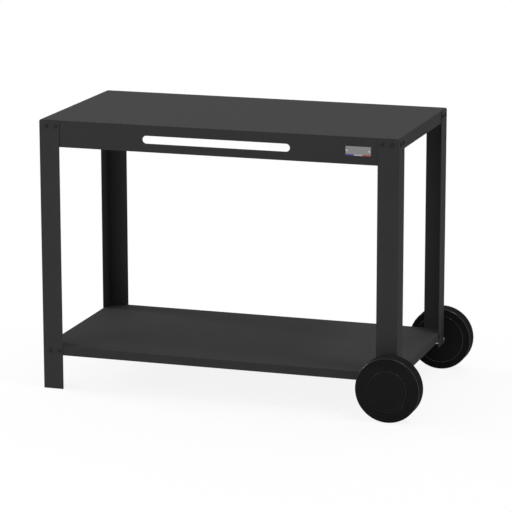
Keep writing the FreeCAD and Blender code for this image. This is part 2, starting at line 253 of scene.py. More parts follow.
class CartSettings(bpy.types.PropertyGroup):
    """All settings of the cart."""

    sheets: PointerProperty(type=CartSheets)
    bolts: PointerProperty(type=CartBolts)
    wheels: PointerProperty(type=CartWheels)
    finish: PointerProperty(type=CartFinish)
    stage: PointerProperty(type=CartStage)


class Signal:
    """A value in a material; arithmetic on it adds Math nodes."""

    def __init__(self, tree, socket):
        self.tree = tree
        self.socket = socket

    def maths(self, operation, *values):
        """What a Math node makes of the values."""
        node = self.tree.nodes.new("ShaderNodeMath")
        node.operation = operation
        for socket, value in zip(node.inputs, values):
            plug(self.tree, socket, value)
        return Signal(self.tree, node.outputs[0])

    def __add__(self, other):
        return self.maths("ADD", self, other)

    def __radd__(self, other):
        return self.maths("ADD", other, self)

    def __sub__(self, other):
        return self.maths("SUBTRACT", self, other)

    def __rsub__(self, other):
        return self.maths("SUBTRACT", other, self)

    def __mul__(self, other):
        return self.maths("MULTIPLY", self, other)

    def __rmul__(self, other):
        return self.maths("MULTIPLY", other, self)

    def __truediv__(self, other):
        return self.maths("DIVIDE", self, other)

    def __lt__(self, other):
        return self.maths("LESS_THAN", self, other)

    def __gt__(self, other):
        return self.maths("GREATER_THAN", self, other)

    def larger(self, other):
        """The larger of two values."""
        return self.maths("MAXIMUM", self, other)

    def clamped(self):
        """The value kept between 0 and 1."""
        return self.maths("MINIMUM", self.larger(0.0), 1.0)

    def swing(self, width):
        """The value less a half, times a width, so that it swings about 0."""
        return (self - 0.5) * width


def plug(tree, socket, value):
    """Links a signal to a socket, or sets the socket's own value."""
    if isinstance(value, Signal):
        tree.links.new(value.socket, socket)
    elif socket.type == "RGBA" and len(value) == 3:
        socket.default_value = (*value, 1.0)
    else:
        socket.default_value = value


class Nodes:
    """A node tree that is written node by node."""

    def __init__(self, tree):
        self.tree = tree
        tree.nodes.clear()

    def add(self, kind, settings=None, inputs=None, output=0):
        """Adds a node: its settings are set first, then its sockets, by name or number."""
        node = self.tree.nodes.new(kind)
        for name, value in (settings or {}).items():
            setattr(node, name, value)
        for name, value in (inputs or {}).items():
            plug(self.tree, node.inputs[name], value)
        return Signal(self.tree, node.outputs[output]) if node.outputs else None

    def place(self):
        """Object coordinates."""
        return self.add("ShaderNodeTexCoord", output="Object")

    def axis(self, name):
        """One Object coordinate."""
        return self.add("ShaderNodeSeparateXYZ", inputs={"Vector": self.place()}, output=name)

    def noise(self, scale, detail=2.0, roughness=0.5, stretch=(1.0, 1.0, 1.0)):
        """Noise with the given number of cells per metre, stretched along the axes, from 0 to 1."""
        place = self.add("ShaderNodeMapping", inputs={"Vector": self.place(), "Scale": stretch})
        return self.add(
            "ShaderNodeTexNoise",
            inputs={"Vector": place, "Scale": scale, "Detail": detail, "Roughness": roughness})

    def wear(self):
        """How much a point of the surface is rubbed, from 0 to 1; on the frame bolts it is 1 on the crown
        and 0 where painted shade darkens the coat.
        """
        return self.add("ShaderNodeAttribute", {"attribute_name": "wear"}, output="Fac")

    def blend(self, amount, low, high):
        """Colour between two colours."""
        return self.add("ShaderNodeMix", {"data_type": "RGBA"}, {0: amount, 6: low, 7: high}, output=2)

    def shade(self, amount, rgb, low, high):
        """Colour between two shades of one colour, given as factors."""
        return self.blend(amount, tinted(rgb, low), tinted(rgb, high))

    def bump(self, height, distance, strength):
        """Normal from a height from 0 to 1 that stands for the given distance."""
        sockets = {"Height": height, "Distance": distance, "Strength": strength}
        return self.add("ShaderNodeBump", inputs=sockets)

    def finish(self, **inputs):
        """The surface itself; an underscore in a name stands for a space."""
        sockets = {name.replace("_", " "): value for name, value in inputs.items()}
        surface = self.add("ShaderNodeBsdfPrincipled", inputs=sockets)
        self.add("ShaderNodeOutputMaterial", inputs={"Surface": surface})


def tinted(rgb, factor):
    """A colour made lighter or darker by a factor."""
    return tuple(channel * factor for channel in rgb)


def new_material(name):
    """An empty material and its nodes."""
    material = bpy.data.materials.new(name)
    material.use_nodes = True
    return material, Nodes(material.node_tree)


def powder_coat(nodes, colours):
    """Fine-textured anthracite powder coat, a little lighter and smoother where edges have rubbed."""
    grain = nodes.noise(1400.0, detail=3.0, roughness=0.6)
    peel = nodes.noise(260.0, detail=1.0)
    cloud = nodes.noise(7.0, detail=3.0)
    rubbing = nodes.noise(90.0, detail=4.0, roughness=0.65)
    patches = rubbing * 1.6 - 0.45
    worn = (nodes.wear() * patches).clamped()
    tone = (0.5 + cloud.swing(0.7) + grain.swing(0.6)).clamped()
    coat = nodes.shade(tone, colours.coat, low=0.84, high=1.16)
    rubbed_coat = tinted(colours.coat, 1.9)
    nodes.finish(
        Base_Color=nodes.blend(worn * 0.12, coat, rubbed_coat),
        Roughness=colours.coat_roughness + cloud.swing(0.10) + grain.swing(0.12) - worn * 0.08,
        Specular_IOR_Level=0.05,
        Normal=nodes.bump(grain * 0.7 + peel * 0.3, distance=0.00012, strength=0.35),
    )


def bolt_coat(nodes, colours):
    """Black coat on the frame bolts: matt on the crown, with painted shade that darkens the socket, the
    head's rim and the shank.
    """
    speck = nodes.noise(2200.0, detail=3.0)
    cloud = nodes.noise(240.0, detail=2.0)
    crown = nodes.shade(cloud, colours.bolt, low=0.85, high=1.15)
    # Painted shade: the coat at a quarter of its colour, put in the socket, round the head's rim and on the
    # shank, where the mask is 0
    shaded = tinted(colours.bolt, 0.25)
    nodes.finish(
        Base_Color=nodes.blend(nodes.wear(), shaded, crown),
        Roughness=0.62 + speck.swing(0.16),
        Specular_IOR_Level=0.08,
        Normal=nodes.bump(speck, distance=0.00003, strength=0.3),
    )


def zinc_plate(nodes, colours):
    """Zinc plating: bright grey metal with soft cloudy patches."""
    cloud = nodes.noise(320.0, detail=4.0, roughness=0.6)
    speck = nodes.noise(2600.0, detail=2.0)
    nodes.finish(
        Base_Color=nodes.shade(cloud, colours.zinc, low=0.82, high=1.10),
        Metallic=1.0,
        Roughness=0.34 + cloud.swing(0.18) + speck.swing(0.06),
        Normal=nodes.bump(speck, distance=0.00002, strength=0.25),
    )


def plate_metal(nodes, colours):
    """Brushed plate with lines along X, and a plain strip in three equal bands along its lower edge."""
    third = (plate_high.x - plate_low.x) / 3
    brush = nodes.noise(3000.0, detail=3.0, roughness=0.7, stretch=(0.02, 1.0, 1.0))
    cloud = nodes.noise(120.0, detail=2.0)
    x = nodes.axis("X")
    strip = nodes.axis("Z") < plate_low.z + colours.strip_height
    left = x < plate_low.x + third
    right = x > plate_high.x - third
    metal = nodes.shade(brush * 0.7 + cloud * 0.3, colours.plate, low=0.78, high=1.15)
    two_bands = nodes.blend(left, colours.strip_middle, colours.strip_left)
    bands = nodes.blend(right, two_bands, colours.strip_right)
    nodes.finish(
        Base_Color=nodes.blend(strip, metal, bands),
        Metallic=0.9 * (1 - strip),
        Roughness=0.42 + brush.swing(0.2),
        Normal=nodes.bump(brush * (1 - strip), distance=0.00002, strength=0.4),
    )


def rivet_metal(nodes, colours):
    """Bright drawn metal of the rivets."""
    speck = nodes.noise(2400.0, detail=3.0)
    nodes.finish(
        Base_Color=nodes.shade(speck, colours.rivet, low=0.85, high=1.1),
        Metallic=1.0,
        Roughness=0.28 + speck.swing(0.14),
        Normal=nodes.bump(speck, distance=0.00002, strength=0.2),
    )


def tyre_rubber(nodes, colours):
    """Matt black rubber with a fine moulded texture, a faint bloom and polished shoulders."""
    grain = nodes.noise(1500.0, detail=3.0, roughness=0.6)
    bloom = nodes.noise(18.0, detail=4.0, roughness=0.6)
    nodes.finish(
        Base_Color=nodes.shade((bloom - 0.35).clamped(), colours.tyre, low=0.9, high=1.5),
        Roughness=0.70 + bloom.swing(0.12) + grain.swing(0.1),
        Specular_IOR_Level=0.0,
        Sheen_Weight=0.02,
        Sheen_Roughness=0.4,
        Coat_Weight=nodes.wear(),
        Coat_IOR=1.45,
        Coat_Roughness=0.22,
        Normal=nodes.bump(grain, distance=0.00010, strength=0.3),
    )


def wheel_plastic(nodes, colours):
    """Moulded black plastic with a spark-eroded grain and polished edges."""
    grain = nodes.noise(1900.0, detail=3.0, roughness=0.65)
    cloud = nodes.noise(25.0, detail=3.0)
    nodes.finish(
        Base_Color=nodes.shade(cloud, colours.core, low=0.85, high=1.2),
        Roughness=0.55 + grain.swing(0.16) + cloud.swing(0.08),
        Specular_IOR_Level=0.01,
        Coat_Weight=nodes.wear(),
        Coat_IOR=1.60,
        Coat_Roughness=0.20,
        Normal=nodes.bump(grain, distance=0.00008, strength=0.35),
    )


def bush_nylon(nodes, colours):
    """Plain off-white nylon."""
    cloud = nodes.noise(160.0, detail=3.0)
    nodes.finish(
        Base_Color=nodes.shade(cloud, colours.bush, low=0.9, high=1.0),
        Roughness=0.45 + cloud.swing(0.1),
        Normal=nodes.bump(cloud, distance=0.00003, strength=0.2),
    )


finishes = {
    "powder_coat": powder_coat,
    "black_bolts": bolt_coat,
    "zinc_steel": zinc_plate,
    "plate_metal": plate_metal,
    "rivet_metal": rivet_metal,
    "tyre_rubber": tyre_rubber,
    "wheel_plastic": wheel_plastic,
    "bush_plastic": bush_nylon,
}
materials = {}


def material_of(slot):
    """The finish of a material slot, made the first time it is asked for."""
    if slot not in materials:
        finish = finishes[slot]
        material, nodes = new_material(finish.__name__)
        finish(nodes, bpy.context.scene.plancha_cart.finish)
        materials[slot] = material
    return materials[slot]


class Skin:
    """Points, quads and flat end faces of a surface, with a weight per point for rubbed edges; on the frame
    bolts the weight marks where painted shade goes instead.
    """

    def __init__(self, points, quads, caps=(), wear=None):
        self.points = np.reshape(points, (-1, 3))
        self.quads = np.reshape(quads, (-1, 4))
        self.caps = [np.asarray(cap) for cap in caps]
        self.wear = np.zeros(len(self.points)) if wear is None else np.ravel(wear)

    def at(self, spot, direction):
        """Copy with its origin at the spot and its Z turned to the direction."""
        turn = np.array(Vector((0, 0, 1)).rotation_difference(Vector(direction)).to_matrix())
        return Skin(self.points @ turn.T + np.array(spot), self.quads, self.caps, self.wear)


def together(skins):
    """Several surfaces as one."""
    starts = np.cumsum([0] + [len(skin.points) for skin in skins[:-1]])
    return Skin(
        np.concatenate([skin.points for skin in skins]),
        np.concatenate([skin.quads + start for skin, start in zip(skins, starts)]),
        [cap + start for skin, start in zip(skins, starts) for cap in skin.caps],
        np.concatenate([skin.wear for skin in skins]),
    )


def quarter(steps):
    """Angles of a quarter turn in equal steps."""
    return np.radians(np.linspace(0, 90, steps + 1))


def full_turn(columns):
    """Angles of a full turn in equal steps, the last one left out."""
    return np.arange(columns) * 2 * math.pi / columns


def rays(angle):
    """Unit vectors at the given angles: cosine and sine."""
    return np.column_stack((np.cos(angle), np.sin(angle)))


def repeated(pair, count):
    """The same pair in each of a number of rows."""
    return np.tile(pair, (count, 1))


def grid_quads(rows, columns, close_rows=False):
    """Corner numbers of the quads between neighbouring rows and columns; the columns close into a ring."""
    row = np.arange(rows if close_rows else rows - 1)[:, None]
    column = np.arange(columns)[None, :]
    next_row = (row + 1) % rows
    next_column = (column + 1) % columns
    ring = (row * columns + column, row * columns + next_column)
    next_ring = (next_row * columns + next_column, next_row * columns + column)
    return np.stack(np.broadcast_arrays(*ring, *next_ring), axis=-1)


def end_faces(rows, columns):
    """Point numbers of the first and the last row of a grid."""
    return [np.arange(columns), (rows - 1) * columns + np.arange(columns)]


def soft_wall(edge, thickness):
    """Wall through a sheet, with quarter circles as rims: how far back and how deep, from face to face."""
    turn = quarter(edge_steps)
    back = edge * (1 - np.sin(turn))
    depth = edge * (1 - np.cos(turn))
    return np.concatenate((back, back[::-1])), np.concatenate((depth, thickness - depth[::-1]))


def block_loop(rows, columns, width):
    """Point numbers round a block of a grid: along its first row, last column, last row and first column."""
    first = rows[0] * width + columns
    right = rows * width + columns[-1]
    last = (rows[-1] * width + columns)[::-1]
    left = (rows * width + columns[0])[::-1]
    return np.concatenate((first[:-1], right[:-1], last[:-1], left[:-1]))


def ring_quads(rings):
    """Quads between neighbouring rows of point numbers that close into rings."""
    turned_on = np.roll(rings, -1, axis=1)
    return np.stack((rings[:-1], turned_on[:-1], turned_on[1:], rings[1:]), axis=-1).reshape(-1, 4)


def cut_hole(points, keep, outer_block, inner_block, start, end, radius, edge):
    """Cuts a round or slotted hole through blocks of the grid, rows and columns, on both faces of a sheet.

    Each point round the outer block looks for its nearest point on the hole's middle line, from start to
    end. The wall lies one radius from there towards the point, and both rims are quarter circles. Gives the
    points and quads of the wall, and marks the quads of both blocks as not kept.
    """
    for rows, columns in (outer_block, inner_block):
        keep[rows.min():rows.max(), columns.min():columns.max()] = False
    width = keep.shape[1]
    outer_loop = block_loop(*outer_block, width)
    inner_loop = block_loop(*inner_block, width)
    outer = points[outer_loop]
    line = end - start
    along = np.clip((outer - start) @ line / max(line @ line, weld_distance**2), 0, 1)
    core = start + along[:, None] * line
    outwards = outer - core
    outwards /= np.linalg.norm(outwards, axis=1)[:, None]
    normal = np.cross(outwards[0], outwards[len(outwards) // 4])
    normal /= np.linalg.norm(normal)
    through = np.mean((points[inner_loop] - outer) @ normal)
    back, depth = soft_wall(edge, abs(through))
    depth *= np.sign(through)
    wall = core + outwards * (radius + back)[:, None, None] + normal * depth[:, None, None]
    numbers = len(points) + np.arange(wall.size // 3).reshape(wall.shape[:2])
    return wall.reshape(-1, 3), ring_quads(np.vstack((outer_loop, numbers, inner_loop)))


def show(name, skin, slot, body, *nodes):
    """Makes the object of a piece: welds seams and poles, turns faces outwards and shades smoothly."""
    mesh = bpy.data.meshes.new(name)
    mesh.from_pydata(skin.points.tolist(), [], skin.quads.tolist() + [cap.tolist() for cap in skin.caps])
    mesh.attributes.new("wear", "FLOAT", "POINT").data.foreach_set("value", skin.wear.astype(np.float32))
    work = bmesh.new()
    work.from_mesh(mesh)
    bmesh.ops.remove_doubles(work, verts=work.verts, dist=weld_distance)
    bmesh.ops.dissolve_degenerate(work, edges=work.edges, dist=weld_distance)
    bmesh.ops.recalc_face_normals(work, faces=work.faces)
    work.to_mesh(mesh)
    work.free()
    mesh.shade_smooth()
    mesh.set_sharp_from_angle(angle=smooth_angle)
    mesh.materials.append(material_of(slot))
    piece = bpy.data.objects.new(name, mesh)
    bpy.context.scene.collection.objects.link(piece)
    normals = piece.modifiers.new("weighted normals", "WEIGHTED_NORMAL")
    normals.keep_sharp = True
    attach(piece, body)
    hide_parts(*nodes)


def rounded(corner_list, steps=edge_steps):
    """Points of an outline whose corners, each two places and a radius, become arcs that touch both sides.

    An arc's middle lies on the line that halves the corner, its radius over the sine of half the angle away.
    """
    spots = np.array([corner[:2] for corner in corner_list])
    stretches = []
    for index, spot in enumerate(spots):
        radius = corner_list[index][2]
        if radius == 0:
            stretches.append(spot[None, :])
            continue
        back = spots[index - 1] - spot
        ahead = spots[(index + 1) % len(spots)] - spot
        back = back / np.linalg.norm(back)
        ahead = ahead / np.linalg.norm(ahead)
        half = math.acos(back @ ahead) / 2
        inwards = (back + ahead) / np.linalg.norm(back + ahead)
        centre = spot + inwards * radius / math.sin(half)
        first = spot + back * radius / math.tan(half) - centre
        second = spot + ahead * radius / math.tan(half) - centre
        start = math.atan2(first[1], first[0])
        sweep = (math.atan2(second[1], second[0]) - start + math.pi) % (2 * math.pi) - math.pi
        angle = start + sweep * np.linspace(0, 1, steps + 1)
        stretches.append(centre + radius * rays(angle))
    return np.concatenate(stretches)


def slants(outline):
    """1 where an outline runs at 45 degrees to the axle, and 0 where it runs along or across it.

    A step's slant is twice the product of its two parts over its length squared, and a point takes the
    smaller slant of its two steps.
    """
    step = np.roll(outline, -1, axis=0) - outline
    slant = 2 * np.abs(step[:, 0] * step[:, 1]) / np.sum(step**2, axis=1)
    return np.minimum(slant, np.roll(slant, 1))


def turned(radius, height, columns, close=False, wear=0.0):
    """Surface about Z: rows of a radius and a height, alike or one per column, go round in equal steps.

    A closed profile joins its last row to its first; an open one gets a flat face at both ends. Each row may
    have its own weight for wear, which on the frame bolts marks where painted shade goes.
    """
    angle = full_turn(columns)
    wear = np.reshape(wear, (-1, 1))
    radius, height, wear, angle = np.broadcast_arrays(radius, height, wear, angle)
    points = np.stack((radius * np.cos(angle), radius * np.sin(angle), height), axis=-1)
    rows = len(points)
    caps = [] if close else end_faces(rows, columns)
    return Skin(points, grid_quads(rows, columns, close), caps, wear)


def turned_profile(corner_list, columns, close=True, steps=edge_steps):
    """Surface about Z from the rounded outline of its section: radius, height, corner radius."""
    outline = rounded(corner_list, steps)
    return turned(outline[:, :1], outline[:, 1:], columns, close, slants(outline))


def hexagon_radius(across, columns):
    """From the middle to the side of a hexagon: half its width over the cosine of the angle to its flat."""
    sector = math.pi / 3
    return across / 2 / np.cos(full_turn(columns) % sector - sector / 2)


def hexagon_rows(across, bottom, top, columns):
    """Rows of a hexagon whose corners are turned down at the top: radius and height per column.

    A corner dips by what it stands past the chamfer's circle, times the chamfer's slope.
    """
    side = hexagon_radius(across, columns)
    chamfer_circle = across / 2 * hexagon_chamfer
    dip = (side - chamfer_circle) * math.tan(chamfer_angle)
    plain = np.ones(columns)
    radius = np.stack((side, side, plain * chamfer_circle))
    height = np.stack((plain * bottom, top - dip, plain * top))
    return radius, height


def thread_rows(radius, pitch, start, end, columns):
    """Rows of a thread: the radius falls by a triangle wave of height over pitch less share of a turn."""
    rows = max(2, int(abs(end - start) / pitch * thread_rows_per_turn))
    height = np.linspace(start, end, rows)[:, None] * np.ones(columns)
    phase = height / pitch - np.arange(columns) / columns
    wave = np.abs(2 * (phase % 1) - 1)
    return radius - pitch * thread_depth * wave, height


def stack_rows(columns, *rows):
    """Puts rows of radius and height, given as numbers or per column, under each other."""
    wide = np.zeros((1, columns))
    return tuple(np.concatenate([np.atleast_2d(values) + wide for values in kind]) for kind in zip(*rows))


def dome_rows(head_radius, rim, top, flat_radius):
    """Radius and height down a dome, from the edge of its flat top to its rim, which lie on one ball.

    The ball's middle is as far from the one as from the other.
    """
    rise = top**2 + flat_radius**2 - head_radius**2 - rim**2
    middle = rise / (2 * (top - rim))
    ball = math.hypot(head_radius, rim - middle)
    first = math.atan2(flat_radius, top - middle)
    last = math.atan2(head_radius, rim - middle)
    angle = np.linspace(first, last, dome_steps + 1)
    return ball * np.sin(angle)[:, None], middle + ball * np.cos(angle)[:, None]


def rectangle_columns(half_x, half_y, front):
    """Columns round a rectangle: points on it and their outward normals.

    The front side has columns at the given places. Each corner turns its normal by 90 degrees in steps.
    """
    starts = np.radians(np.arange(-90, 270, 90))[:, None]
    angle = (starts + quarter(bend_steps)).ravel()
    corner = np.repeat([(1, -1), (1, 1), (-1, 1), (-1, -1)], bend_steps + 1, axis=0) * (half_x, half_y)
    front_points = np.column_stack((front, np.full(len(front), -half_y)))
    base = np.vstack((front_points, corner))
    normal = np.vstack((repeated((0, -1), len(front)), rays(angle)))
    return base, normal


def folded_sheet(low, high, side_depth, front_columns, skirt_shares, sheets):
    """Sheet folded down on four sides, as a profile carried round a rectangle.

    A column's points lie on its base point, clipped to the inset rectangle, plus its normal times what is
    left of the corner radius. The profile runs outwards over the top, round the bend, down the skirt, round
    the cut edge and back inside; the front's skirt goes down to the box, the others by the side depth.
    """
    bend = sheets.bend
    edge = sheets.edge
    thickness = sheets.thickness
    half = np.array(((high.x - low.x) / 2, (high.y - low.y) / 2))
    front = np.array(front_columns)
    base, normal = rectangle_columns(*(half - bend), front)
    depth = np.full(len(base), side_depth)
    depth[:len(front)] = high.z - low.z
    turn = quarter(bend_steps)[:, None]
    rim = quarter(edge_steps)[:, None]
    shares = np.array(skirt_shares)[:, None]
    flat = np.ones((1, len(base)))

    def half_profile(inside):
        """Inset, drop and wear down one face of the sheet."""
        face = thickness if inside else 0.0
        inset_sign = -1 if inside else 1
        radius = bend - face
        inset = np.concatenate((
            [[bend + support_distance]],
            bend - radius * np.sin(turn),
            np.full_like(shares, face),
            face + inset_sign * edge * (1 - np.cos(rim)),
        ))
        drop = np.concatenate((
            flat * face,
            flat * (bend - radius * np.cos(turn)),
            bend + shares * (depth - bend - edge),
            depth - edge + edge * np.sin(rim),
        ))
        wear_and_shade_weight = np.concatenate(([[0.0]], np.sin(2 * turn), np.zeros_like(shares), np.ones_like(rim)))
        return inset, drop, wear_and_shade_weight

    halves = [half_profile(False), half_profile(True)]
    inset, drop, wear_and_shade_weight = (np.concatenate((outer, inner[::-1])) for outer, inner in zip(*halves))
    limit = half - np.maximum(bend, inset)[:, :, None]
    flat_points = np.clip(base, -limit, limit) + normal * np.maximum(bend - inset, 0)[:, :, None]
    middle = np.array(((low.x + high.x) / 2, (low.y + high.y) / 2))
    points = np.dstack((flat_points + middle, high.z - drop))
    rows, columns = points.shape[:2]
    return points, grid_quads(rows, columns), end_faces(rows, columns), wear_and_shade_weight * np.ones(columns)


def worktop_skin(sheets):
    """The worktop with its handle slot, which is cut through a block of the front's grid."""
    half_x = (tray_high.x - tray_low.x) / 2
    radius = sheets.slot_height / 2
    slot_half = sheets.slot_length / 2 - radius
    reach = radius + support_distance
    block_half = slot_half + reach
    end = half_x - sheets.bend - sheets.edge
    front = np.concatenate((
        [-end],
        np.linspace(-block_half, -slot_half, slot_end_steps + 1),
        np.linspace(-slot_half, slot_half, slot_middle_steps + 1)[1:],
        np.linspace(slot_half, block_half, slot_end_steps + 1)[1:],
        [end],
    ))
    skirt = tray_high.z - tray_low.z - sheets.bend - sheets.edge
    slot_levels = sheets.slot_drop - sheets.bend + np.linspace(-reach, reach, 2 * slot_end_steps + 1)
    near_edge = skirt - support_distance
    shares = np.concatenate((slot_levels, [near_edge])) / skirt
    points, quads, caps, wear = folded_sheet(tray_low, tray_high, sheets.side_skirt, front, shares, sheets)
    # The skirt's rows follow one row on the flat and those of the bend
    first_row = bend_steps + 2
    block_rows = np.arange(first_row, first_row + 2 * slot_end_steps + 1)
    block_columns = np.arange(1, len(front) - 1)
    outer_block = (block_rows, block_columns)
    inner_block = (len(points) - 1 - block_rows, block_columns)
    keep = np.ones(quads.shape[:2], bool)
    points = points.reshape(-1, 3)
    slot_z = tray_high.z - sheets.slot_drop
    start = np.array((cart_middle - slot_half, tray_low.y, slot_z))
    stop = np.array((cart_middle + slot_half, tray_low.y, slot_z))
    wall, wall_quads = cut_hole(points, keep, outer_block, inner_block, start, stop, radius, sheets.edge)
    return Skin(
        np.concatenate((points, wall)),
        np.concatenate((quads[keep], wall_quads)),
        caps,
        np.concatenate((wear.ravel(), np.ones(len(wall)))),
    )


def shelf_skin(sheets):
    """The lower shelf: all four lips alike."""
    depth = shelf_high.z - shelf_low.z
    skirt = depth - sheets.bend - sheets.edge
    points, quads, caps, wear = folded_sheet(
        shelf_low, shelf_high, depth, [], [(skirt - support_distance) / skirt], sheets)
    return Skin(points, quads, caps, wear)


def leg_columns(sheets, flange, places):
    """Columns round the section of an angle leg: points inset by the edge, normals, follow and wear.

    Places are counted along a flange from the leg's corner. The columns go along one flange, round the bend
    and along the other flange, first outside and then back inside. A column's follow is the share by which
    it goes along when the ends of the flanges are drawn in.
    """
    edge = sheets.edge
    bend = sheets.leg_bend
    end = flange - edge
    run = np.sort(np.concatenate((places, [bend, end])))
    pull = (run - bend) / (end - bend)
    none = np.zeros_like(run)
    sides = len(run) - 1
    round_bend = quarter(bend_steps)[1:-1]
    ray = rays(-math.pi / 2 - round_bend)
    round_end = quarter(edge_steps)
    tips = len(round_end)

    def half_section(inside):
        """Points, normals, follow and wear along one face of the sheet."""
        side = 1 if inside else -1
        face = sheets.leg_thickness - edge if inside else edge
        base = np.vstack((
            repeated((end, face), tips),
            np.column_stack((run[::-1], none + face))[1:],
            bend + (bend - face) * ray,
            np.column_stack((none + face, run))[:-1],
            repeated((face, end), tips),
        ))
        normal = np.vstack((
            rays(side * round_end),
            repeated((0, side), sides),
            -side * ray,
            repeated((side, 0), sides),
            rays(math.pi / 2 - side * (math.pi / 2 - round_end)),
        ))
        follow = np.vstack((
            repeated((1, 0), tips),
            np.column_stack((pull[::-1], none))[1:],
            np.zeros_like(ray),
            np.column_stack((none, pull))[:-1],
            repeated((0, 1), tips),
        ))
        tip_wear = np.ones(tips)
        wear = np.concatenate((tip_wear, none[1:], np.sin(2 * round_bend), none[1:], tip_wear))
        return base, normal, follow, wear * (not inside)

    halves = zip(half_section(False), half_section(True))
    return tuple(np.concatenate((outer, inner[::-1])) for outer, inner in halves)


def drawn_in(rise, radius):
    """How far a rounded corner lies back at a rise along its side: its radius less the half chord there."""
    rise = np.clip(rise, 0, radius)
    return radius - np.sqrt(radius**2 - rise**2)


def frame_corner(corner):
    """Where the outer faces of a leg meet, along X and Y."""
    x_side, y_side = corners[corner]
    low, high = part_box(corner + "_leg")
    return high.x if x_side > 0 else low.x, high.y if y_side > 0 else low.y


def leg_skin(corner, sheets):
    """An angle leg: its section carried up, with the flanges' ends drawn in at their rounded free corners.

    A wheel leg has an axle hole in each flange, cut through a block of the grid.
    """
    x_side, y_side = corners[corner]
    end_x, end_y = frame_corner(corner)
    low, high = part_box(corner + "_leg")
    flange = high.x - low.x
    foot = low.z
    top = high.z
    inset = abs(end_x - axle_x)
    reach = sheets.axle_hole / 2 * hole_block
    around_hole = np.linspace(-reach, reach, hole_steps + 1)
    holed = x_side > 0
    places = inset + around_hole if holed else np.array([flange / 2])
    base, normal, follow, wear_and_shade_weight = leg_columns(sheets, flange, places)
    swing = quarter(2 * bend_steps)
    foot_rows = foot + sheets.leg_foot_round * (1 - np.cos(swing))
    top_rows = top - sheets.leg_top_round * (1 - np.cos(swing[::-1]))
    hole_rows = axle_height + around_hole if holed else np.array([])
    height = np.concatenate((foot_rows, hole_rows, top_rows))
    top_pull = drawn_in(height - top + sheets.leg_top_round, sheets.leg_top_round)
    foot_pull = drawn_in(foot - height + sheets.leg_foot_round, sheets.leg_foot_round)
    pull = (top_pull + foot_pull)[:, None, None]
    behind = drawn_in(np.maximum(height - top, foot - height) + sheets.edge, sheets.edge)[:, None, None]
    section = base - follow * pull + normal * (sheets.edge - behind)
    rows, columns = section.shape[:2]
    points = np.dstack((
        end_x - x_side * section[:, :, 0],
        end_y - y_side * section[:, :, 1],
        np.broadcast_to(height[:, None], (rows, columns)),
    )).reshape(-1, 3)
    quads = grid_quads(rows, columns)
    caps = end_faces(rows, columns)
    wear = np.where(behind[:, 0] > 0, 1.0, wear_and_shade_weight).ravel()
    if not holed:
        return Skin(points, quads, caps, wear)
    keep = np.ones(quads.shape[:2], bool)
    radius = sheets.axle_hole / 2
    block_rows = len(foot_rows) + np.arange(hole_steps + 1)
    wall_quads = []
    # The first flange's columns follow those of its end, and the second one's follow the bend's
    first = edge_steps + 1
    second = first + len(places) + bend_steps
    spots = {first: (axle_x, end_y), second: (end_x, end_y - y_side * inset)}
    for start, (spot_x, spot_y) in spots.items():
        spot = np.array((spot_x, spot_y, axle_height))
        block = np.arange(start, start + len(places))
        outer_block = (block_rows, block)
        inner_block = (block_rows, columns - 1 - block)
        wall, new_quads = cut_hole(points, keep, outer_block, inner_block, spot, spot, radius, sheets.edge)
        points = np.concatenate((points, wall))
        wear = np.concatenate((wear, np.ones(len(wall))))
        wall_quads.append(new_quads)
    return Skin(points, np.concatenate((quads[keep], *wall_quads)), caps, wear)


def slab_skin(half_x, half_y, corner, thickness, edge):
    """Flat plate on Z 0 with rounded corners and edges: rings of a rounded rectangle from face to face."""
    base, normal = rectangle_columns(half_x - corner, half_y - corner, [])
    back, rise = soft_wall(edge, thickness)
    flat = base + normal * (corner - back)[:, None, None]
    rows, columns = flat.shape[:2]
    points = np.dstack((flat, np.broadcast_to(rise[:, None], (rows, columns))))
    return Skin(points, grid_quads(rows, columns), end_faces(rows, columns))


def frame_bolt_skin(bolts):
    """Button-head bolt: from the socket's floor up its six sides, over the dome and down the shank."""
    socket = hexagon_radius(bolts.socket, bolt_columns)
    bevel = bolts.socket * socket_bevel
    top = bolts.head_height
    head = bolts.head / 2
    radius = bolts.shank / 2
    bare = -(bolts.grip + bolts.washer_thickness)
    thread_start = bare - bolts.nut_thickness * plain_in_nut
    tip = -bolts.length
    dome = dome_rows(head, bolts.head_rim, top, bolts.head_flat / 2)
    rows = stack_rows(
        bolt_columns,
        (socket, top - bolts.socket_depth),
        (socket, top - bevel),
        (socket + bevel, top),
        dome,
        (head, bevel),
        (head - bevel, 0.0),
        (radius, 0.0),
        (radius, bare),
        thread_rows(radius, bolts.pitch, thread_start, tip + bolts.pitch / 2, bolt_columns),
        (radius - bolts.pitch * bolt_tip_bevel, tip),
    )
    # Mask for the bolt coat: 1 on the crown, 0 in the socket, round the head's rim and down the shank, where
    # painted shade goes
    socket_rows = 2
    crown_rows = len(dome[0]) - 1
    number = np.arange(len(rows[0]))
    wear_and_shade_weight = (number >= socket_rows) & (number < socket_rows + crown_rows)
    return turned(*rows, bolt_columns, wear=wear_and_shade_weight)


def nut_skin(bolts):
    """Hexagon nut that stands on height 0, with a plain bore and a countersink at the top."""
    bore = bolts.shank / 2
    sink = bore * nut_countersink
    rows = stack_rows(
        bolt_columns,
        (bore, 0.0),
        hexagon_rows(bolts.nut, 0.0, bolts.nut_thickness, bolt_columns),
        (bore + sink, bolts.nut_thickness),
        (bore, bolts.nut_thickness - sink),
    )
    return turned(*rows, bolt_columns, close=True)


def washer_skin(hole, outside, bottom, top, columns):
    """Flat washer with softened rims."""
    soft = (top - bottom) * washer_softening
    return turned_profile([
        (hole, bottom, soft / 2),
        (outside, bottom, soft),
        (outside, top, soft),
        (hole, top, soft / 2),
    ], columns)


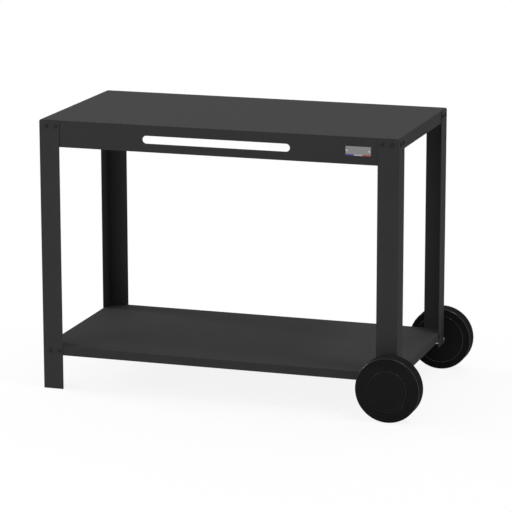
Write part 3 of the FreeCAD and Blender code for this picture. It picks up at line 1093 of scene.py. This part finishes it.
def rivet_skin(bolts, sheets):
    """Rivet: domed head, stem and formed tail, with its seat at height 0."""
    grip = plate_high.y - plate_low.y + sheets.thickness
    head = bolts.rivet_head / 2
    rim = bolts.rivet_head_height * rivet_rim
    stem = bolts.rivet / 2
    tail = bolts.rivet_tail / 2
    tail_end = -grip - bolts.rivet_tail_height
    soft = bolts.rivet_tail_height / 3
    rows = stack_rows(
        bolt_columns,
        dome_rows(head, rim, bolts.rivet_head_height, stem / 2),
        (head, 0.0),
        (stem, 0.0),
        (stem, -grip),
        (tail, -grip),
        (tail, tail_end + soft),
        (tail - soft, tail_end),
    )
    return turned(*rows, bolt_columns)


def along_axle(node):
    """Radius of a round node and its two ends, counted outwards along the axle from the leg's outer face."""
    low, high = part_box(node)
    return (high.x - low.x) / 2, front_face - high.y, front_face - low.y


def tyre_skin(wheels):
    """Tyre: a plain tread with rounded shoulders, and a lip over the core's outer face."""
    radius, inner, outer = along_axle("front_tyre")
    seat = radius - wheels.wall
    groove_edge = wheels.cap + wheels.cap_groove
    return turned_profile([
        (seat, inner, 0),
        (radius, inner, wheels.shoulder),
        (radius, outer, wheels.shoulder),
        (groove_edge, outer, wheels.cap_round),
        (groove_edge, outer - wheels.lip, 0),
        (seat, outer - wheels.lip, 0),
    ], wheel_columns, steps=bend_steps)


def core_skin(wheels):
    """Core of the wheel: hub, disc, bead round the inner face, rim, and the flange that carries the cap."""
    radius, inner, outer = along_axle("front_tyre")
    bore, hub_start, hub_stop = along_axle("front_axle_bush")
    seat = radius - wheels.wall
    bead_foot = seat - wheels.bead
    bead_top = inner - wheels.bead_height
    groove_edge = wheels.cap + wheels.cap_groove
    cap_rest = wheels.cap - wheels.cap_rest
    rim_inside = seat - wheels.core_wall
    web = inner + wheels.core_recess
    web_back = web + wheels.core_web
    lip_seat = outer - wheels.lip
    cap_seat = outer - wheels.cap_thickness
    flange = lip_seat - wheels.core_flange
    soft = wheels.bead / 3
    outline = rounded([
        (bore, hub_start, 0),
        (wheels.hub, hub_start, soft),
        (wheels.hub, web, soft),
        (bead_foot, web, soft / 2),
        (bead_foot, bead_top, soft),
        (seat, bead_top, soft),
        (seat, lip_seat, 0),
        (groove_edge, lip_seat, 0),
        (groove_edge, cap_seat, 0),
        (cap_rest, cap_seat, 0),
        (cap_rest, flange, 0),
        (rim_inside, flange, 0),
        (rim_inside, web_back, 0),
        (wheels.hub, web_back, 0),
        (wheels.hub, hub_stop, soft),
        (bore, hub_stop, 0),
    ])
    wear_and_shade_weight = bead_wear * (outline[:, 1] < inner - weld_distance)
    return turned(outline[:, :1], outline[:, 1:], wheel_columns, close=True, wear=wear_and_shade_weight)


def cap_skin(wheels):
    """Flush cap: a flat disc with a softened edge, seated on the core's flange."""
    outer = along_axle("front_tyre")[2]
    seat = outer - wheels.cap_thickness
    cap_rest = wheels.cap - wheels.cap_rest
    return turned_profile([
        (cap_rest, seat, 0),
        (wheels.cap, seat, 0),
        (wheels.cap, outer, wheels.cap_round),
        (cap_rest, outer, 0),
    ], wheel_columns, close=False, steps=bend_steps)


def bush_skin(wheels):
    """Sleeve in the hub."""
    outside, start, stop = along_axle("front_axle_bush")
    bore = wheels.axle / 2 + wheels.axle_clearance
    soft = (outside - bore) / 5
    return turned_profile([
        (bore, start, soft),
        (outside, start, soft),
        (outside, stop, soft),
        (bore, stop, soft),
    ], axle_columns)


def axle_bolt_skin(wheels):
    """Axle bolt: hexagon head under the cap, plain shank in the bush, and a thread from the leg inwards."""
    tip, head_top = along_axle("front_axle_bolt")[1:]
    seat = head_top - wheels.axle_head
    radius = wheels.axle / 2
    head_radius, head_height = hexagon_rows(wheels.axle_nut, seat, head_top, axle_columns)
    rows = stack_rows(
        axle_columns,
        (head_radius[::-1], head_height[::-1]),
        (radius, seat),
        (radius, 0.0),
        thread_rows(radius, wheels.axle_pitch, 0.0, tip + wheels.axle_pitch, axle_columns),
        (radius - wheels.axle_pitch * axle_tip_bevel, tip),
    )
    return turned(*rows, axle_columns)


def lock_nut_skin(wheels, sheets):
    """Lock nut on the inside of the leg: a hexagon with a round collar, pointing inwards."""
    bore = wheels.axle / 2
    collar_top = wheels.axle_nut_thickness + wheels.collar_height
    soft = wheels.collar_height / 3
    collar = wheels.collar / 2
    rows = stack_rows(
        axle_columns,
        (bore, 0.0),
        hexagon_rows(wheels.axle_nut, 0.0, wheels.axle_nut_thickness, axle_columns),
        (collar, wheels.axle_nut_thickness),
        (collar, collar_top - soft),
        (collar - soft / 3, collar_top - soft / 3),
        (collar - soft, collar_top),
        (bore, collar_top),
    )
    return turned(*rows, axle_columns, close=True).at((0, 0, -sheets.leg_thickness), (0, 0, -1))


def bolt_seats(corner, row, bolts):
    """Where the bolts of one row sit on the outer faces of a leg: point and outward direction."""
    x_side, y_side = corners[corner]
    x, y = frame_corner(corner)
    low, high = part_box(f"{corner}_{row}_bolts")
    z = (low.z + high.z) / 2
    seats = []
    for column in (bolts.inner_column, bolts.outer_column):
        seats.append(((x - x_side * column, y, z), (0, y_side, 0)))
        seats.append(((x, y - y_side * column, z), (x_side, 0, 0)))
    return seats


def axle_seat(y_side):
    """Where an axle leaves the outer face of its leg: point and outward direction."""
    return (axle_x, front_face * -y_side, axle_height), (0, y_side, 0)


class CART_OT_worktop(bpy.types.Operator):
    """Build the folded worktop with its handle slot"""

    bl_idname = "cart.worktop"
    bl_label = "Worktop"

    def execute(self, context):
        show("worktop", worktop_skin(context.scene.plancha_cart.sheets), "powder_coat", "cart", "top_tray")
        return {"FINISHED"}


class CART_OT_shelf(bpy.types.Operator):
    """Build the folded lower shelf"""

    bl_idname = "cart.shelf"
    bl_label = "Shelf"

    def execute(self, context):
        show("shelf", shelf_skin(context.scene.plancha_cart.sheets), "powder_coat", "cart", "lower_shelf")
        return {"FINISHED"}


class CART_OT_legs(bpy.types.Operator):
    """Build the four angle legs"""

    bl_idname = "cart.legs"
    bl_label = "Legs"

    def execute(self, context):
        for corner in corners:
            skin = leg_skin(corner, context.scene.plancha_cart.sheets)
            show("leg." + corner, skin, "powder_coat", "cart", corner + "_leg")
        return {"FINISHED"}


class CART_OT_frame_bolts(bpy.types.Operator):
    """Build the frame bolts with their washers and nuts"""

    bl_idname = "cart.frame_bolts"
    bl_label = "Frame bolts"

    def execute(self, context):
        bolts = context.scene.plancha_cart.bolts
        washer_seat = -bolts.grip - bolts.washer_thickness
        washer = washer_skin(bolts.washer_hole / 2, bolts.washer / 2, washer_seat, -bolts.grip, bolt_columns)
        kinds = {
            "bolts": (frame_bolt_skin(bolts), "black_bolts"),
            "washers": (washer, "zinc_steel"),
            "nuts": (nut_skin(bolts).at((0, 0, washer_seat), (0, 0, -1)), "zinc_steel"),
        }
        for corner in corners:
            for row in bolt_rows:
                seats = bolt_seats(corner, row, bolts)
                for kind, (skin, slot) in kinds.items():
                    group = together([skin.at(*seat) for seat in seats])
                    show(f"{kind}.{corner}_{row}", group, slot, "cart", f"{corner}_{row}_{kind}")
        return {"FINISHED"}


class CART_OT_badge_plate(bpy.types.Operator):
    """Build the badge plate and its rivets"""

    bl_idname = "cart.badge_plate"
    bl_label = "Badge plate"

    def execute(self, context):
        bolts = context.scene.plancha_cart.bolts
        half_x = (plate_high.x - plate_low.x) / 2
        half_z = (plate_high.z - plate_low.z) / 2
        middle = (plate_low + plate_high) / 2
        thickness = plate_high.y - plate_low.y
        forwards = (0, -1, 0)
        plate = slab_skin(half_x, half_z, thickness * plate_corner, thickness, thickness * plate_edge)
        plate = plate.at((middle.x, plate_high.y, middle.z), forwards)
        show("plate", plate, "plate_metal", "cart", "badge_plate")
        reach = half_x - bolts.rivet_margin
        rivet = rivet_skin(bolts, context.scene.plancha_cart.sheets)
        seats = [(middle.x + side * reach, plate_low.y, middle.z) for side in (-1, 1)]
        rivets = together([rivet.at(seat, forwards) for seat in seats])
        show("rivets", rivets, "rivet_metal", "cart", "plate_rivets")
        return {"FINISHED"}


class CART_OT_wheels(bpy.types.Operator):
    """Build both wheels: tyre, core, cap and bush"""

    bl_idname = "cart.wheels"
    bl_label = "Wheels"

    def execute(self, context):
        wheels = context.scene.plancha_cart.wheels
        kinds = {
            "tyre": (tyre_skin(wheels), "tyre_rubber", "tyre"),
            "core": (core_skin(wheels), "wheel_plastic", "wheel_core"),
            "cap": (cap_skin(wheels), "wheel_plastic", "wheel_cap"),
            "bush": (bush_skin(wheels), "bush_plastic", "axle_bush"),
        }
        for side, y_side in wheel_sides.items():
            for kind, (skin, slot, node) in kinds.items():
                placed = skin.at(*axle_seat(y_side))
                show(f"{kind}.{side}", placed, slot, side + "_wheel", f"{side}_{node}")
        return {"FINISHED"}


class CART_OT_axles(bpy.types.Operator):
    """Build both axle bolts with their washers and lock nuts"""

    bl_idname = "cart.axles"
    bl_label = "Axles"

    def execute(self, context):
        wheels = context.scene.plancha_cart.wheels
        sheets = context.scene.plancha_cart.sheets
        kinds = {"axle_bolt": axle_bolt_skin(wheels), "lock_nut": lock_nut_skin(wheels, sheets)}
        for kind in ("inner_washer", "outer_washer"):
            kinds[kind] = washer_skin(sheets.axle_hole / 2, *along_axle("front_" + kind), axle_columns)
        for side, y_side in wheel_sides.items():
            for kind, skin in kinds.items():
                placed = skin.at(*axle_seat(y_side))
                show(f"{kind}.{side}", placed, "zinc_steel", "cart", f"{side}_{kind}")
        return {"FINISHED"}


def seen_directly(nodes):
    """1 for what the camera sees directly, in a reflection or through glass, and 0 for plain light."""
    kinds = ("Is Camera Ray", "Is Glossy Ray", "Is Transmission Ray")
    camera, glossy, clear = (nodes.add("ShaderNodeLightPath", output=kind) for kind in kinds)
    return camera.larger(glossy).larger(clear)


def white_surroundings(strength):
    """World that lights the object softly and is white where it is seen."""
    world = bpy.data.worlds.new("surroundings")
    world.use_nodes = True
    nodes = Nodes(world.node_tree)
    light = nodes.add("ShaderNodeBackground", inputs={"Color": (1.0, 1.0, 1.0), "Strength": strength})
    white = nodes.add("ShaderNodeBackground", inputs={"Color": (1.0, 1.0, 1.0), "Strength": 1.0})
    mixed = nodes.add("ShaderNodeMixShader", inputs={0: seen_directly(nodes), 1: light, 2: white})
    nodes.add("ShaderNodeOutputWorld", inputs={"Surface": mixed})
    bpy.context.scene.world = world


def pale_floor():
    """Pale floor that is nearly white where it is seen and still takes a soft shadow.

    The share of plain white grows from near the cart to far away, so that the shadow fades out.
    """
    bounced = (0.90, 0.90, 0.90)
    shown = (0.95, 0.95, 0.95)
    near_white = 0.88
    near = 1.0
    far = 2.5
    material, nodes = new_material("pale_floor")
    seen = seen_directly(nodes)
    plain = nodes.add("ShaderNodeBsdfDiffuse", inputs={"Color": nodes.blend(seen, bounced, shown)})
    white = nodes.add("ShaderNodeEmission", inputs={"Color": (1.0, 1.0, 1.0), "Strength": 1.0})
    distance = nodes.add("ShaderNodeVectorMath", {"operation": "LENGTH"}, {0: nodes.place()}, output="Value")
    fade = ((distance - near) / (far - near)).clamped()
    share_white = seen * (near_white + fade * (1.0 - near_white))
    mixed = nodes.add("ShaderNodeMixShader", inputs={0: share_white, 1: plain, 2: white})
    nodes.add("ShaderNodeOutputMaterial", inputs={"Surface": mixed})
    sides = ((-1, -1), (1, -1), (1, 1), (-1, 1))
    mesh = bpy.data.meshes.new("floor")
    mesh.from_pydata([(floor_reach * x, floor_reach * y, 0) for x, y in sides], [], [(0, 1, 2, 3)])
    mesh.materials.append(material)
    floor = bpy.data.objects.new("floor", mesh)
    bpy.context.scene.collection.objects.link(floor)


def softbox(name, aim, direction, width, energy):
    """Square area lamp that lights an aim from a direction."""
    lamp = bpy.data.lights.new(name, "AREA")
    lamp.shape = "SQUARE"
    lamp.size = width
    lamp.energy = energy
    away = Vector(direction).normalized()
    holder = bpy.data.objects.new(name, lamp)
    holder.location = Vector(aim) + away * lamp_distance
    holder.rotation_mode = "QUATERNION"
    holder.rotation_quaternion = (-away).to_track_quat("-Z", "Y")
    bpy.context.scene.collection.objects.link(holder)


class CART_OT_stage(bpy.types.Operator):
    """Build the floor, the surroundings, the lamps and the camera"""

    bl_idname = "cart.stage"
    bl_label = "Stage"

    def execute(self, context):
        stage = context.scene.plancha_cart.stage
        pale_floor()
        white_surroundings(stage.surroundings)
        aim = (cart_middle, 0.0, tray_high.z / 2)
        for name, (direction, width) in lamps.items():
            softbox(name, aim, direction, width, getattr(stage, name))
        camera = bpy.data.objects.new("camera", bpy.data.cameras.new("camera"))
        camera.data.sensor_width = film_width_mm
        camera.data.lens = stage.lens
        pitch, roll, yaw = stage.turn
        turn = Matrix.Rotation(yaw, 4, "Z") @ Matrix.Rotation(math.radians(90) + pitch, 4, "X")
        turn = turn @ Matrix.Rotation(roll, 4, "Z")
        camera.matrix_world = Matrix.Translation(Vector((cart_middle, 0, 0)) + Vector(stage.eye)) @ turn
        camera.data.clip_end = view_reach
        context.scene.collection.objects.link(camera)
        context.scene.camera = camera
        context.scene.view_settings.view_transform = "Standard"
        return {"FINISHED"}


class CART_PT_sidebar(bpy.types.Panel):
    """Lists the cart's pieces"""

    bl_idname = "CART_PT_sidebar"
    bl_label = "Plancha cart"
    bl_space_type = "VIEW_3D"
    bl_region_type = "UI"
    bl_category = "Plancha cart"

    def draw(self, context):
        for operator in operators:
            self.layout.operator(operator.bl_idname)
        for name in CartSettings.__annotations__:
            box = self.layout.box()
            box.label(text=name.capitalize())
            group = getattr(context.scene.plancha_cart, name)
            for setting in type(group).__annotations__:
                box.prop(group, setting)


operators = (
    CART_OT_worktop,
    CART_OT_shelf,
    CART_OT_legs,
    CART_OT_frame_bolts,
    CART_OT_badge_plate,
    CART_OT_wheels,
    CART_OT_axles,
    CART_OT_stage,
)
groups = (CartSheets, CartBolts, CartWheels, CartFinish, CartStage, CartSettings)


def register():
    for item in (*groups, *operators, CART_PT_sidebar):
        bpy.utils.register_class(item)
    bpy.types.Scene.plancha_cart = PointerProperty(type=CartSettings)


def unregister():
    del bpy.types.Scene.plancha_cart
    for item in reversed((*groups, *operators, CART_PT_sidebar)):
        bpy.utils.unregister_class(item)


def main():
    register()
    bpy.ops.cart.worktop()
    bpy.ops.cart.shelf()
    bpy.ops.cart.legs()
    bpy.ops.cart.frame_bolts()
    bpy.ops.cart.badge_plate()
    bpy.ops.cart.wheels()
    bpy.ops.cart.axles()
    bpy.ops.cart.stage()


if __name__ == "__main__":
    main()
